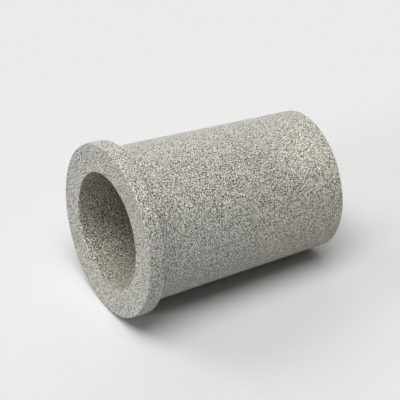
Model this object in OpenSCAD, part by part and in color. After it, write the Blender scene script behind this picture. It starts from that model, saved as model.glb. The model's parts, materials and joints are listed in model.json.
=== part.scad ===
// Sintered filter element: a flanged cup moulded from metal powder as one piece.
// The cup stands on its closed end, centred on the origin, with its axis and its mouth along +Z.
// Sizes are in millimetres and angles in degrees.

/* [Cup] */
// Overall length, from the closed end to the mouth
length = 44; // [30:0.5:70]
// Outside diameter of the body where it meets the flange
body_d = 30; // [28:0.5:32]
// Mould draft of the body's outside, per side
draft = 2; // [0:0.1:3]
// Thickness of the closed end
end_t = 3; // [2:0.1:6]

/* [Flange] */
// Outside diameter of the flange
flange_d = 33.5; // [33:0.5:50]
// Thickness of the flange
flange_t = 3.5; // [2:0.1:6]

/* [Bore] */
// Diameter of the straight blind bore
bore_d = 22.5; // [12:0.5:24]
// Radius between the bore and the floor of the cup
floor_r = 2; // [0.5:0.1:4]

/* [Edges] */
// Rounding of the flange's front edge and of the bore's mouth
mouth_r = 0.2; // [0.1:0.05:0.6]
// Rounding of the flange's back edge
flange_back_r = 0.6; // [0.1:0.05:0.9]
// Fillet between the flange and the body
root_r = 0.4; // [0.1:0.05:0.6]
// Rounding of the closed end's outer edge
end_r = 0.2; // [0.1:0.05:1]

/* [Hidden] */
$fn = 96;
sintered_steel = [0.62, 0.61, 0.58];

// Straight steps along each rounded edge
arc_steps = 8;

// Heights of the flange's back face and of the cup's floor
flange_z = length - flange_t;
floor_z = end_t;

// Radii; the draft narrows the body from the flange down to the closed end
flange_radius = flange_d / 2;
body_radius = body_d / 2;
bore_radius = bore_d / 2;
end_radius = body_radius - flange_z * tan(draft);

// Roundings of the step between body and flange, each limited to its share of the step
flange_step = flange_radius - body_radius;
root_share = 0.4;
back_share = 0.5;
root_fillet = min(root_r, flange_step * root_share);
back_edge = min(flange_back_r, flange_step * back_share);

// Sharp corners of the cup's half section, as [radius, height], in order round the outline
axis_bottom = [0, 0];
end_edge = [end_radius, 0];
flange_root = [body_radius, flange_z];
flange_back = [flange_radius, flange_z];
flange_front = [flange_radius, length];
bore_mouth = [bore_radius, length];
floor_edge = [bore_radius, floor_z];
axis_floor = [0, floor_z];

// Unit vector from point a to point b
function toward(a, b) = (b - a) / norm(b - a);

// Points of the arc of radius r that rounds a corner between its neighbours before and after.
// The arc touches both sides of the corner, so it rounds an outside corner and fills an inside one.
function rounded(before, corner, after, r) =
    let (
        u = toward(corner, before),
        v = toward(corner, after),
        half_angle = acos(u * v) / 2,
        reach = r / tan(half_angle),
        centre = corner + toward([0, 0], u + v) * r / sin(half_angle),
        start = toward(centre, corner + u * reach),
        end = toward(centre, corner + v * reach),
        sweep = 180 - 2 * half_angle
    )
    [for (step = [0 : arc_steps])
        let (turn = sweep * step / arc_steps)
        centre + (start * sin(sweep - turn) + end * sin(turn)) * r / sin(sweep)
    ];

// Half section of the cup, from the closed end up the outside, over the flange and down the bore
module cup_section() {
    polygon(concat(
        [axis_bottom],
        rounded(axis_bottom, end_edge, flange_root, end_r),
        rounded(end_edge, flange_root, flange_back, root_fillet),
        rounded(flange_root, flange_back, flange_front, back_edge),
        rounded(flange_back, flange_front, bore_mouth, mouth_r),
        rounded(flange_front, bore_mouth, floor_edge, mouth_r),
        rounded(bore_mouth, floor_edge, axis_floor, floor_r),
        [axis_floor]
    ));
}

// The whole element, moulded and sintered as one piece
module filter_element() {
    color(sintered_steel) rotate_extrude() cup_section();
}

filter_element();
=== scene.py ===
"""Looks of the sintered filter element: its grainy metal skin, the pale table under it, light and camera."""
import json
import math

import bpy
import numpy as np
from bpy.props import FloatProperty, FloatVectorProperty, IntProperty, PointerProperty, StringProperty
from mathutils import Matrix, Vector


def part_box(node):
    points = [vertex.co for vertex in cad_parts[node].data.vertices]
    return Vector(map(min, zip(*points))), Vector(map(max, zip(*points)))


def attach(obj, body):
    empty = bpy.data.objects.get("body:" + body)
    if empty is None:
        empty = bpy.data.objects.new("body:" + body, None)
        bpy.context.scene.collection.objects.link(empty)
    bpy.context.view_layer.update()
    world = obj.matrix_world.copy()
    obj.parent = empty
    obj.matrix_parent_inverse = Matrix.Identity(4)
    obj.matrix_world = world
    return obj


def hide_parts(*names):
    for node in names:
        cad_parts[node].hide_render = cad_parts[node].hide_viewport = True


bl_info = {
    "name": "Sintered filter element",
    "version": (1, 0, 0),
    "blender": (4, 5, 0),
    "location": "View3D > Sidebar > Filter element",
    "description": "Dresses a flanged cup of sintered metal powder and sets it on a pale table",
    "category": "Object",
}

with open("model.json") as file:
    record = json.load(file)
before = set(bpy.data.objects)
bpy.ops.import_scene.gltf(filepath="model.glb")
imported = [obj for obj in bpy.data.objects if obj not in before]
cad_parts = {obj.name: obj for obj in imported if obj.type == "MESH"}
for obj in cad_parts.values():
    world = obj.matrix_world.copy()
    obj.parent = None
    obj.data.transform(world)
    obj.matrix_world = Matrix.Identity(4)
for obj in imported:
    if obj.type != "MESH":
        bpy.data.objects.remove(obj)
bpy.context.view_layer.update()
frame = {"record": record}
NODE = "filter_element"
NODE_LOW, NODE_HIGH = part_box(NODE)
MOUNTS = {mount["name"]: mount for mount in frame["record"]["mounts"]}
CUP = "sintered_cup"
MM = 0.001

# Mesh: slack for rounding, reach of the slope's measure, jitter in steps, and least points in a ring
ROUNDING = 1e-9
NUDGE = 0.05 * MM
JITTER = 0.25
LEAST_POINTS = 6

# Relief: the dome's share of a grain's height, and the squared distance in pitches at which the dome ends
DOME_SHARE = 0.6
DOME_REACH = 0.8

# Whole numbers that scramble a grain's cell into its random place and height
CELL_PRIMES = np.array([73856093, 19349663, 83492791], np.uint32)
CHANNEL_STEP, FIRST_MIX, SECOND_MIX = 668265263, 2654435761, 2246822519

# Finish: turn of the fleck noise in radians, its middle, and where on it grains go from matt to smooth
FLECK_TURN = (0.5, 0.4, 0.3)
FLECK_MIDDLE = 0.5
SMOOTH_FROM, SMOOTH_TO = 0.45, 0.75

# Camera: sensor's width in millimetres, and the nearest and farthest that it sees in metres
SENSOR_WIDTH = 36.0
NEAREST, FARTHEST = 0.01, 10.0

# Soft lamps: turn from the table's right towards its back, height above the table and spread, in degrees,
# and tint
LAMPS = {
    "key_light": (260, 75, 40, "FFFFFF"),
    "left_light": (182, 55, 40, "F7F9FF"),
    "mouth_light": (220, 20, 12, "F7F9FF"),
    "back_light": (100, 22, 60, "FFFFFF"),
    "corner_light": (160, 40, 30, "FFFFFF"),
    "under_light": (90, -27, 30, "FFFFFF"),
}
# Small lamps for the cup alone: turn and height as above, the cone in degrees and the softness of its edge,
# and in millimetres how high on the cup's axis the lamp points and the lamp's own radius
SPOTS = {
    "bore_light": (187, 55, 10, 0.6, 52, 20),
    "end_light": (315, 60, 5, 1.0, 6, 4),
}
LAMP_DISTANCE = 200 * MM


class FilterElementSizes(bpy.types.PropertyGroup):
    """Sizes of the moulded cup; those that a mount states come from the frame"""

    length: FloatProperty(
        name="Length", description="From the closed end to the mouth",
        default=NODE_HIGH.z - NODE_LOW.z, unit="LENGTH")
    flange_radius: FloatProperty(
        name="Flange radius", description="Outside radius of the flange",
        default=MOUNTS["flange_rim"]["dims"]["r_mm"] * MM, unit="LENGTH")
    flange_back: FloatProperty(
        name="Flange back", description="Height of the flange's back face",
        default=MOUNTS["flange_back"]["pos_m"][2], unit="LENGTH")
    body_radius: FloatProperty(
        name="Body radius", description="Outside radius of the body at the flange",
        default=15 * MM, unit="LENGTH")
    draft: FloatProperty(
        name="Draft", description="Slope of the body's outside towards the closed end",
        default=math.radians(2), subtype="ANGLE")
    bore_radius: FloatProperty(
        name="Bore radius", description="Radius of the blind bore",
        default=MOUNTS["bore"]["dims"]["r_mm"] * MM, unit="LENGTH")
    end_thickness: FloatProperty(
        name="End thickness", description="Thickness of the closed end",
        default=3 * MM, unit="LENGTH")
    end_edge: FloatProperty(
        name="End edge", description="Rounding of the closed end's outer edge",
        default=0.2 * MM, unit="LENGTH")
    root_fillet: FloatProperty(
        name="Root fillet", description="Fillet between body and flange",
        default=0.4 * MM, unit="LENGTH")
    flange_back_edge: FloatProperty(
        name="Flange back edge", description="Rounding of the flange's back edge",
        default=0.6 * MM, unit="LENGTH")
    mouth_edge: FloatProperty(
        name="Mouth edge", description="Rounding of the flange's front edge and the bore's mouth",
        default=0.2 * MM, unit="LENGTH")
    floor_edge: FloatProperty(
        name="Floor edge", description="Radius between the bore and the cup's floor",
        default=2 * MM, unit="LENGTH")


class SinteredSkin(bpy.types.PropertyGroup):
    """Powder grains of the sintered wall, as relief in the mesh and as finish in the material"""

    grain: FloatProperty(
        name="Grain", description="Pitch of the powder grains in the relief",
        default=0.3 * MM, unit="LENGTH")
    relief: FloatProperty(
        name="Relief", description="Depth of the gaps between grains in the mesh",
        default=0.035 * MM, unit="LENGTH")
    step: FloatProperty(
        name="Mesh step", description="Spacing of the mesh points on the surfaces that show",
        default=0.255 * MM, unit="LENGTH")
    deep_step: FloatProperty(
        name="Deep mesh step", description="Spacing of the mesh rings deep in the bore and on the ends",
        default=0.6 * MM, unit="LENGTH")
    shown_bore: FloatProperty(
        name="Shown bore", description="Depth of the bore that shows from outside",
        default=12 * MM, unit="LENGTH")
    seed: IntProperty(name="Seed", description="Seed of the mesh jitter", default=7)
    fleck: FloatProperty(
        name="Fleck", description="Cell of the fleck noise, about half a grain",
        default=0.2 * MM, unit="LENGTH")
    half_range: FloatProperty(
        name="Half range", description="Half the range of the fleck noise that goes from dull to bright",
        default=0.165)
    tilt: FloatProperty(
        name="Tilt", description="How far the grains' faces lean, as a slope", default=1.2)
    metallic: FloatProperty(
        name="Metallic", description="Share of the light that bare metal mirrors; the rest is scattered",
        default=0.5, subtype="FACTOR")
    matt: FloatProperty(
        name="Matt grain", description="Roughness of the mattest grains", default=0.7, subtype="FACTOR")
    smooth: FloatProperty(
        name="Smooth grain", description="Roughness of the smoothest grains", default=0.35, subtype="FACTOR")
    bright: StringProperty(
        name="Bright grain", description="Colour of the brightest grains, as sRGB hex", default="D4D2CA")
    dull: StringProperty(
        name="Dull grain", description="Colour of the darkest grains, as sRGB hex", default="535049")
    # The straw tint is a warm colour multiplied into the grains: full in the bore, and fading out up from the
    # closed end
    straw_reach: FloatProperty(
        name="Straw reach", description="How far the bore's tint fades out over the flange",
        default=0.8 * MM, unit="LENGTH")
    straw_height: FloatProperty(
        name="Straw height", description="How far up from the closed end the heat's tint fades out",
        default=22 * MM, unit="LENGTH")
    straw_end: FloatProperty(
        name="Straw at the end", description="Strength of the tint at the closed end, of that in the bore",
        default=0.7, subtype="FACTOR")
    straw: StringProperty(
        name="Straw tint", description="Tint of the furnace's heat, as sRGB hex", default="FFFCF4")


class PaleStage(bpy.types.PropertyGroup):
    """Table, light and camera"""

    table_reach: FloatProperty(
        name="Table reach", description="Half the width of the table",
        default=1500 * MM, unit="LENGTH")
    table_azimuth: FloatProperty(
        name="Table azimuth", description="Side of the cup that faces away from the table",
        default=math.radians(45), subtype="ANGLE")
    table_colour: StringProperty(
        name="Table", description="Colour of the table, as sRGB hex", default="E0E0DF")
    backdrop_colour: StringProperty(
        name="Backdrop", description="Colour seen past the table, as sRGB hex", default="EAEAEA")
    room_light: FloatProperty(
        name="Room light", description="Strength of the even light of the room", default=0.02)
    key_light: FloatProperty(
        name="Key light", description="Strength of the soft lamp overhead", default=2.2)
    left_light: FloatProperty(
        name="Left light", description="Strength of the soft lamp on the left", default=0.3)
    mouth_light: FloatProperty(
        name="Mouth light", description="Strength of the low soft lamp before the mouth", default=0.72)
    back_light: FloatProperty(
        name="Back light", description="Strength of the low soft lamp behind", default=0.88)
    corner_light: FloatProperty(
        name="Corner light", description="Strength of the soft lamp at the back on the left", default=0.76)
    under_light: FloatProperty(
        name="Under light", description="Strength of the fill lamp that reaches the side on the table",
        default=2.6)
    bore_light: FloatProperty(
        name="Bore light", description="Strength of the small lamp that shines into the mouth", default=2.4)
    end_light: FloatProperty(
        name="End light", description="Strength of the small lamp on the closed end's side", default=1.9)
    lens: FloatProperty(
        name="Lens", description="Focal length of the camera in millimetres", default=162.0)
    camera_place: FloatVectorProperty(
        name="Camera", description="Place of the camera",
        default=(-35.66 * MM, -304.08 * MM, 179.46 * MM), subtype="XYZ", unit="LENGTH")
    camera_aim: FloatVectorProperty(
        name="Aim", description="Point in the middle of the picture",
        default=(1.09 * MM, 0.0, 23.35 * MM), subtype="XYZ", unit="LENGTH")


def linear(hex_colour):
    """Linear RGBA of an sRGB hex colour."""
    srgb = np.array([int(hex_colour[i:i + 2], 16) for i in (0, 2, 4)]) / 255
    low, high = srgb / 12.92, ((srgb + 0.055) / 1.055) ** 2.4
    return (*np.where(srgb <= 0.04045, low, high), 1.0)


def add_node(tree, kind, inputs=(), **settings):
    """Adds a node with its settings; inputs pair each socket with a value or the socket that feeds it."""
    node = tree.nodes.new(kind)
    for name, value in settings.items():
        setattr(node, name, value)
    for socket, source in inputs:
        if isinstance(source, bpy.types.NodeSocket):
            tree.links.new(source, node.inputs[socket])
        else:
            node.inputs[socket].default_value = source
    return node


def empty_material(name):
    """A material with an empty node tree."""
    material = bpy.data.materials.new(name)
    material.use_nodes = True
    material.node_tree.nodes.clear()
    return material


def rounded_corner(before, corner, after, radius, steps=8):
    """Points of the arc that touches both sides of a corner.

    The arc's centre lies on the corner's bisector at radius / sin(half angle), and the points turn evenly
    about it from one touching point to the other.
    """
    u = (before - corner) / np.linalg.norm(before - corner)
    v = (after - corner) / np.linalg.norm(after - corner)
    half_angle = math.acos(u @ v) / 2
    reach = radius / math.tan(half_angle)
    bisector = (u + v) / np.linalg.norm(u + v)
    centre = corner + bisector * radius / math.sin(half_angle)
    start, end = corner + u * reach - centre, corner + v * reach - centre
    sweep = math.pi - 2 * half_angle
    turn = np.linspace(0, sweep, steps + 1)[:, None]
    return centre + (start * np.sin(sweep - turn) + end * np.sin(turn)) / math.sin(sweep)


def end_radius(sizes):
    """Radius of the closed end: the body's at the flange, less the height times the draft's tangent."""
    return sizes.body_radius - sizes.flange_back * math.tan(sizes.draft)


def cup_section(sizes):
    """Half section of the cup as (radius, height) points, up the outside and down the bore.

    Straight lines between the corners, each corner but those on the axis rounded by its own arc.
    """
    corners = np.array([
        (0, 0), (end_radius(sizes), 0), (sizes.body_radius, sizes.flange_back),
        (sizes.flange_radius, sizes.flange_back), (sizes.flange_radius, sizes.length),
        (sizes.bore_radius, sizes.length), (sizes.bore_radius, sizes.end_thickness),
        (0, sizes.end_thickness),
    ])
    radii = (
        sizes.end_edge, sizes.root_fillet, sizes.flange_back_edge,
        sizes.mouth_edge, sizes.mouth_edge, sizes.floor_edge,
    )
    arcs = [rounded_corner(*corners[i:i + 3], radius) for i, radius in enumerate(radii)]
    return np.concatenate([corners[:1], *arcs, corners[-1:]])


def ring_places(section, sizes, skin):
    """Arc lengths along the section where the mesh rings lie, and the spacing of the points there.

    The spacing is fine on the outside, the flange and the upper bore, and coarse on the closed end and below.
    """
    lengths = np.concatenate([[0], np.cumsum(np.linalg.norm(np.diff(section, axis=0), axis=1))])
    fine_from = lengths[1] - skin.step
    mouth = lengths[np.argmax(section[:, 1] >= sizes.length - ROUNDING)]
    fine_to = mouth + sizes.flange_radius - sizes.bore_radius + skin.shown_bore
    stretches = (
        (0, fine_from, skin.deep_step), (fine_from, fine_to, skin.step),
        (fine_to, lengths[-1], skin.deep_step),
    )
    places = [np.linspace(a, b, round((b - a) / step), endpoint=False) for a, b, step in stretches]
    spacing = np.concatenate([np.full(len(rings), step) for rings, (a, b, step) in zip(places, stretches)])
    return lengths, np.concatenate(places)[1:], spacing[1:]


def scramble(cells, channel):
    """Random numbers from 0 to 1 for whole-number cells, the same for the same cell and channel."""
    key = np.bitwise_xor.reduce(cells.astype(np.int64).astype(np.uint32) * CELL_PRIMES, axis=-1)
    key = (key ^ np.uint32(channel * CHANNEL_STEP % 2 ** 32)) * np.uint32(FIRST_MIX)
    key = (key ^ (key >> np.uint32(15))) * np.uint32(SECOND_MIX)
    return (key ^ (key >> np.uint32(13))).astype(float) / 2 ** 32


def grain_relief(points, pitch):
    """Height from 0 to 1 of packed round grains at each point.

    Every cell of a cubic grid holds one grain at a random place. A point takes the height of the grain
    nearest to it: a dome that falls off with the square of the distance, raised or sunk by the grain's own
    random amount.
    """
    scaled = points / pitch
    cells = np.floor(scaled)
    nearest = np.full(len(points), np.inf)
    own = np.zeros(len(points))
    # Channels 1 to 3 place the grain in its cell, and channel 4 gives its own height
    for offset in np.ndindex(3, 3, 3):
        cell = cells + np.array(offset) - 1
        centre = cell + np.stack([scramble(cell, channel) for channel in (1, 2, 3)], axis=-1)
        distance = np.sum((scaled - centre) ** 2, axis=-1)
        closer = distance < nearest
        nearest = np.where(closer, distance, nearest)
        own = np.where(closer, scramble(cell, 4), own)
    return np.clip(DOME_SHARE * (1 - nearest / DOME_REACH) + (1 - DOME_SHARE) * own, 0, 1)


def zipped_rings(lower, upper, lower_start, upper_start):
    """Triangles between two rings, given the rising angles of their points and each ring's first number.

    Each side of a ring joins the last point of the other ring that comes before the side's end.
    """
    triangles = []
    for ring, other, start, other_start, turn in (
            (lower, upper, lower_start, upper_start, 1), (upper, lower, upper_start, lower_start, -1)):
        here = np.arange(len(ring))
        following = np.roll(here, -1)
        facing = (np.searchsorted(other, ring[following]) - 1) % len(other)
        side = np.stack([start + here, start + following], axis=-1)[:, ::turn]
        triangles.append(np.column_stack([side, other_start + facing]))
    return np.concatenate(triangles)


def turned_skin(sizes, skin):
    """Points and triangles of the cup's grainy skin.

    A grid of two parameters: the arc length along the section, and the angle round the axis, with as many
    points in a ring as its girth takes. Both are jittered by up to a quarter of a step, so no rows show, and
    each point then sinks along the section's inward normal by the grain relief. One point on the axis closes
    each end.
    """
    section = cup_section(sizes)
    lengths, places, spacing = ring_places(section, sizes, skin)
    girths = 2 * math.pi * np.interp(places, lengths, section[:, 0])
    counts = np.maximum(LEAST_POINTS, np.round(girths / spacing)).astype(int)
    starts = np.concatenate([[0], np.cumsum(counts)])
    ring_of = np.repeat(np.arange(len(places)), counts)
    rng = np.random.default_rng(skin.seed)
    jitter = rng.uniform(-JITTER, JITTER, (2, starts[-1]))
    turn = np.arange(starts[-1]) - starts[ring_of] + JITTER + ring_of % 2 / 2 + jitter[0]
    angle = turn * 2 * math.pi / counts[ring_of]
    along = places[ring_of] + spacing[ring_of] * jitter[1]
    radius, height = (np.interp(along, lengths, section[:, i]) for i in (0, 1))
    slope = [
        np.interp(along + NUDGE, lengths, section[:, i]) - np.interp(along - NUDGE, lengths, section[:, i])
        for i in (0, 1)
    ]
    size = np.hypot(*slope)
    out_radial, out_axial = slope[1] / size, -slope[0] / size
    around = np.stack([np.cos(angle), np.sin(angle)], axis=-1)
    points = np.column_stack([radius[:, None] * around, height])
    normal = np.column_stack([out_radial[:, None] * around, out_axial])
    points -= normal * (skin.relief * (1 - grain_relief(points, skin.grain)))[:, None]
    poles = np.array([(0, 0, section[0, 1]), (0, 0, section[-1, 1])])

    rings = np.split(angle, starts[1:-1])
    faces = [zipped_rings(*rings[i:i + 2], *starts[i:i + 2]) for i in range(len(rings) - 1)]
    first, last = np.arange(counts[0]), starts[-2] + np.arange(counts[-1])
    faces.append(np.column_stack([np.full(counts[0], starts[-1]), np.roll(first, -1), first]))
    faces.append(np.column_stack([np.full(counts[-1], starts[-1] + 1), last, np.roll(last, -1)]))
    return np.concatenate([points, poles]), np.concatenate(faces)


def sintered_steel(sizes, skin):
    """Stainless steel powder, moulded and sintered.

    Its grains point every way and none is polished, so the eye sees a matt grey wall of bright and dull
    flecks, each lit from its own side. The fleck noise has blobs of about two cells, so cells of half a grain
    give flecks of about 0.4 mm, a coarse powder's grain and the finest size that shows. A faint warm straw
    tint is multiplied in: full in the bore, and fading out up from the closed end.
    """
    material = empty_material("sintered_stainless_powder")
    tree = material.node_tree
    place = add_node(tree, "ShaderNodeTexCoord").outputs["Object"]
    # Turned out of line with the flat faces, on which the noise's own grid would flatten it
    askew = add_node(tree, "ShaderNodeMapping", [("Vector", place), ("Rotation", FLECK_TURN)])
    grains = add_node(
        tree, "ShaderNodeTexNoise",
        [("Vector", askew.outputs["Vector"]), ("Scale", 1 / skin.fleck), ("Detail", 0.0)])
    chance = add_node(tree, "ShaderNodeSeparateColor", [("Color", grains.outputs["Color"])])
    shine = add_node(
        tree, "ShaderNodeMapRange",
        [("Value", grains.outputs["Fac"]), ("From Min", FLECK_MIDDLE - skin.half_range),
         ("From Max", FLECK_MIDDLE + skin.half_range)])
    grain_colour = add_node(
        tree, "ShaderNodeMix",
        [("Factor", shine.outputs["Result"]), ("A", linear(skin.dull)), ("B", linear(skin.bright))],
        data_type="RGBA")
    across = add_node(tree, "ShaderNodeVectorMath", [(0, place), (1, (1, 1, 0))], operation="MULTIPLY")
    radius = add_node(tree, "ShaderNodeVectorMath", [(0, across.outputs[0])], operation="LENGTH")
    # Share of the straw tint: full in the bore, and fading out up from the closed end
    inside = add_node(
        tree, "ShaderNodeMapRange",
        [("Value", radius.outputs["Value"]), ("From Min", sizes.bore_radius + skin.straw_reach),
         ("From Max", sizes.bore_radius)])
    height = add_node(tree, "ShaderNodeSeparateXYZ", [("Vector", place)])
    low = add_node(
        tree, "ShaderNodeMapRange",
        [("Value", height.outputs["Z"]), ("From Min", skin.straw_height), ("From Max", 0.0),
         ("To Max", skin.straw_end)])
    tint_share = add_node(
        tree, "ShaderNodeMath", [(0, inside.outputs["Result"]), (1, low.outputs["Result"])],
        operation="MAXIMUM")
    colour = add_node(
        tree, "ShaderNodeMix",
        [("Factor", tint_share.outputs[0]), ("A", grain_colour.outputs["Result"]), ("B", linear(skin.straw))],
        data_type="RGBA", blend_type="MULTIPLY")
    lean = add_node(
        tree, "ShaderNodeVectorMath",
        [(0, grains.outputs["Color"]), (1, (skin.tilt,) * 3), (2, (-skin.tilt * FLECK_MIDDLE,) * 3)],
        operation="MULTIPLY_ADD")
    surface = add_node(tree, "ShaderNodeNewGeometry")
    facing = add_node(
        tree, "ShaderNodeVectorMath", [(0, lean.outputs[0]), (1, surface.outputs["Normal"])], operation="ADD")
    normal = add_node(tree, "ShaderNodeVectorMath", [(0, facing.outputs[0])], operation="NORMALIZE")
    rough = add_node(
        tree, "ShaderNodeMapRange",
        [("Value", chance.outputs["Green"]), ("From Min", SMOOTH_FROM), ("From Max", SMOOTH_TO),
         ("To Min", skin.matt), ("To Max", skin.smooth)])
    shader = add_node(
        tree, "ShaderNodeBsdfPrincipled",
        [("Base Color", colour.outputs["Result"]), ("Metallic", skin.metallic),
         ("Roughness", rough.outputs["Result"]), ("Normal", normal.outputs[0])])
    add_node(tree, "ShaderNodeOutputMaterial", [("Surface", shader.outputs["BSDF"])])
    return material


def table_frame(sizes, stage):
    """Up, right and back directions of the table, and the point of it under the cup's middle.

    The table touches the flange's rim and the closed end's edge, so it leans from the cup's axis by the angle
    whose tangent is the difference of the two radii over their distance.
    """
    section = cup_section(sizes)
    lean = math.atan2(
        sizes.flange_radius - end_radius(sizes),
        sizes.flange_back + sizes.flange_back_edge - sizes.end_edge)
    side = Vector((math.sin(stage.table_azimuth), -math.cos(stage.table_azimuth), 0))
    up = side * math.cos(lean) + Vector((0, 0, 1)) * math.sin(lean)
    lowest = np.min(section[:, 1] * math.sin(lean) - section[:, 0] * math.cos(lean))
    middle = Vector((0, 0, sizes.length / 2))
    under = middle + up * (lowest - middle.dot(up))
    view = (Vector(stage.camera_aim) - Vector(stage.camera_place)).normalized()
    right = view.cross(up).normalized()
    back = up.cross(right)
    return up, right, back, under


def turned(x, y, z, place):
    """Matrix of an object whose own axes are x, y and z, at a place."""
    matrix = Matrix((x, y, z)).transposed().to_4x4()
    matrix.translation = place
    return matrix


class FILTER_OT_add_element(bpy.types.Operator):
    """Makes the grainy cup, in place of the plain one"""

    bl_idname = "sintered_filter.add_element"
    bl_label = "Filter element"

    def execute(self, context):
        sizes, skin = context.scene.filter_element_sizes, context.scene.sintered_skin
        points, faces = turned_skin(sizes, skin)
        mesh = bpy.data.meshes.new(CUP)
        mesh.from_pydata(points.tolist(), [], faces.tolist())
        mesh.materials.append(sintered_steel(sizes, skin))
        cup = bpy.data.objects.new(CUP, mesh)
        context.scene.collection.objects.link(cup)
        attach(cup, "root")
        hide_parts(NODE)
        return {"FINISHED"}


class FILTER_OT_add_stage(bpy.types.Operator):
    """Makes the table, the light and the camera"""

    bl_idname = "sintered_filter.add_stage"
    bl_label = "Stage"

    def execute(self, context):
        scene = context.scene
        sizes, stage = scene.filter_element_sizes, scene.pale_stage
        up, right, back, under = table_frame(sizes, stage)

        reach = stage.table_reach
        sides = ((-1, -1), (1, -1), (1, 1), (-1, 1))
        corners = [under + right * x * reach + back * y * reach for x, y in sides]
        mesh = bpy.data.meshes.new("table")
        mesh.from_pydata(corners, [], [(0, 1, 2, 3)])
        mesh.materials.append(self.table_material(stage))
        table = bpy.data.objects.new("table", mesh)
        # Lets the lamp below the table reach the side of the cup that lies on it
        table.visible_shadow = False
        scene.collection.objects.link(table)

        self.light_room(scene, stage)
        axes = (right, back, up)
        for name, (turn, height, spread, tint) in LAMPS.items():
            lamp = bpy.data.lights.new(name, "SUN")
            lamp.energy, lamp.angle = getattr(stage, name), math.radians(spread)
            lamp.color = linear(tint)[:3]
            if height < 0:
                # Keeps what the cup throws back out of its own shadow on the table
                lamp.cycles.max_bounces = 0
            self.hang_lamp(scene, lamp, axes, turn, height, Vector())
        cup_alone = bpy.data.collections.new("cup_alone")
        cup_alone.objects.link(bpy.data.objects[CUP])
        for name, (turn, height, cone, edge, aim, radius) in SPOTS.items():
            lamp = bpy.data.lights.new(name, "SPOT")
            # Power that gives the stated strength at the lamp's aim
            lamp.energy = 4 * math.pi * LAMP_DISTANCE ** 2 * getattr(stage, name)
            lamp.spot_size, lamp.spot_blend = math.radians(cone), edge
            lamp.shadow_soft_size = radius * MM
            light = self.hang_lamp(scene, lamp, axes, turn, height, Vector((0, 0, aim * MM)))
            light.light_linking.receiver_collection = cup_alone
            # A mirrored lamp would glare on the flange from behind
            light.visible_glossy = False

        camera = bpy.data.cameras.new("camera")
        camera.lens, camera.sensor_width = stage.lens, SENSOR_WIDTH
        camera.clip_start, camera.clip_end = NEAREST, FARTHEST
        view = bpy.data.objects.new("camera", camera)
        place = Vector(stage.camera_place)
        towards_eye = (place - Vector(stage.camera_aim)).normalized()
        view.matrix_world = turned(right, towards_eye.cross(right), towards_eye, place)
        scene.collection.objects.link(view)
        scene.camera = view
        scene.view_settings.view_transform = "Standard"
        return {"FINISHED"}

    def hang_lamp(self, scene, lamp, axes, turn, height, aim):
        """Links a lamp that shines on its aim from a turn and a height above the table, in degrees."""
        right, back, up = axes
        turn, height = math.radians(turn), math.radians(height)
        level = right * math.cos(turn) + back * math.sin(turn)
        towards_lamp = level * math.cos(height) + up * math.sin(height)
        light = bpy.data.objects.new(lamp.name, lamp)
        light.location = aim + towards_lamp * LAMP_DISTANCE
        light.rotation_mode = "QUATERNION"
        light.rotation_quaternion = towards_lamp.to_track_quat("Z", "Y")
        scene.collection.objects.link(light)
        return light

    def table_material(self, stage):
        """Smooth white card, seen from its front only."""
        material = empty_material("white_card")
        tree = material.node_tree
        card = add_node(tree, "ShaderNodeBsdfDiffuse", [("Color", linear(stage.table_colour))])
        clear = add_node(tree, "ShaderNodeBsdfTransparent")
        behind = add_node(tree, "ShaderNodeNewGeometry").outputs["Backfacing"]
        side = add_node(
            tree, "ShaderNodeMixShader", [(0, behind), (1, card.outputs[0]), (2, clear.outputs[0])])
        add_node(tree, "ShaderNodeOutputMaterial", [("Surface", side.outputs[0])])
        return material

    def light_room(self, scene, stage):
        """Even room light; what the camera and the metal see past the table has the backdrop's tone."""
        world = bpy.data.worlds.new("room")
        world.use_nodes = True
        tree = world.node_tree
        tree.nodes.clear()
        path = add_node(tree, "ShaderNodeLightPath")
        room = add_node(
            tree, "ShaderNodeBackground", [("Color", linear("FFFFFF")), ("Strength", stage.room_light)])
        seen = add_node(
            tree, "ShaderNodeBackground", [("Color", linear(stage.backdrop_colour)), ("Strength", 1.0)])
        shown = path.outputs["Is Camera Ray"]
        for ray in ("Is Glossy Ray", "Is Transmission Ray"):
            shown = add_node(
                tree, "ShaderNodeMath", [(0, shown), (1, path.outputs[ray])], operation="MAXIMUM").outputs[0]
        mixed = add_node(
            tree, "ShaderNodeMixShader", [(0, shown), (1, room.outputs[0]), (2, seen.outputs[0])])
        add_node(tree, "ShaderNodeOutputWorld", [("Surface", mixed.outputs[0])])
        scene.world = world


class FILTER_PT_panel(bpy.types.Panel):
    """Lists the steps that make the filter element and its stage"""

    bl_idname = "FILTER_PT_panel"
    bl_label = "Filter element"
    bl_space_type = "VIEW_3D"
    bl_region_type = "UI"
    bl_category = "Filter element"

    def draw(self, context):
        for operator in (FILTER_OT_add_element, FILTER_OT_add_stage):
            self.layout.operator(operator.bl_idname)


GROUPS = {
    "filter_element_sizes": FilterElementSizes,
    "sintered_skin": SinteredSkin,
    "pale_stage": PaleStage,
}
CLASSES = (*GROUPS.values(), FILTER_OT_add_element, FILTER_OT_add_stage, FILTER_PT_panel)


def register():
    for cls in CLASSES:
        bpy.utils.register_class(cls)
    for name, group in GROUPS.items():
        setattr(bpy.types.Scene, name, PointerProperty(type=group))


def unregister():
    for name in GROUPS:
        delattr(bpy.types.Scene, name)
    for cls in reversed(CLASSES):
        bpy.utils.unregister_class(cls)


def main():
    register()
    bpy.ops.sintered_filter.add_element()
    bpy.ops.sintered_filter.add_stage()


if __name__ == "__main__":
    main()
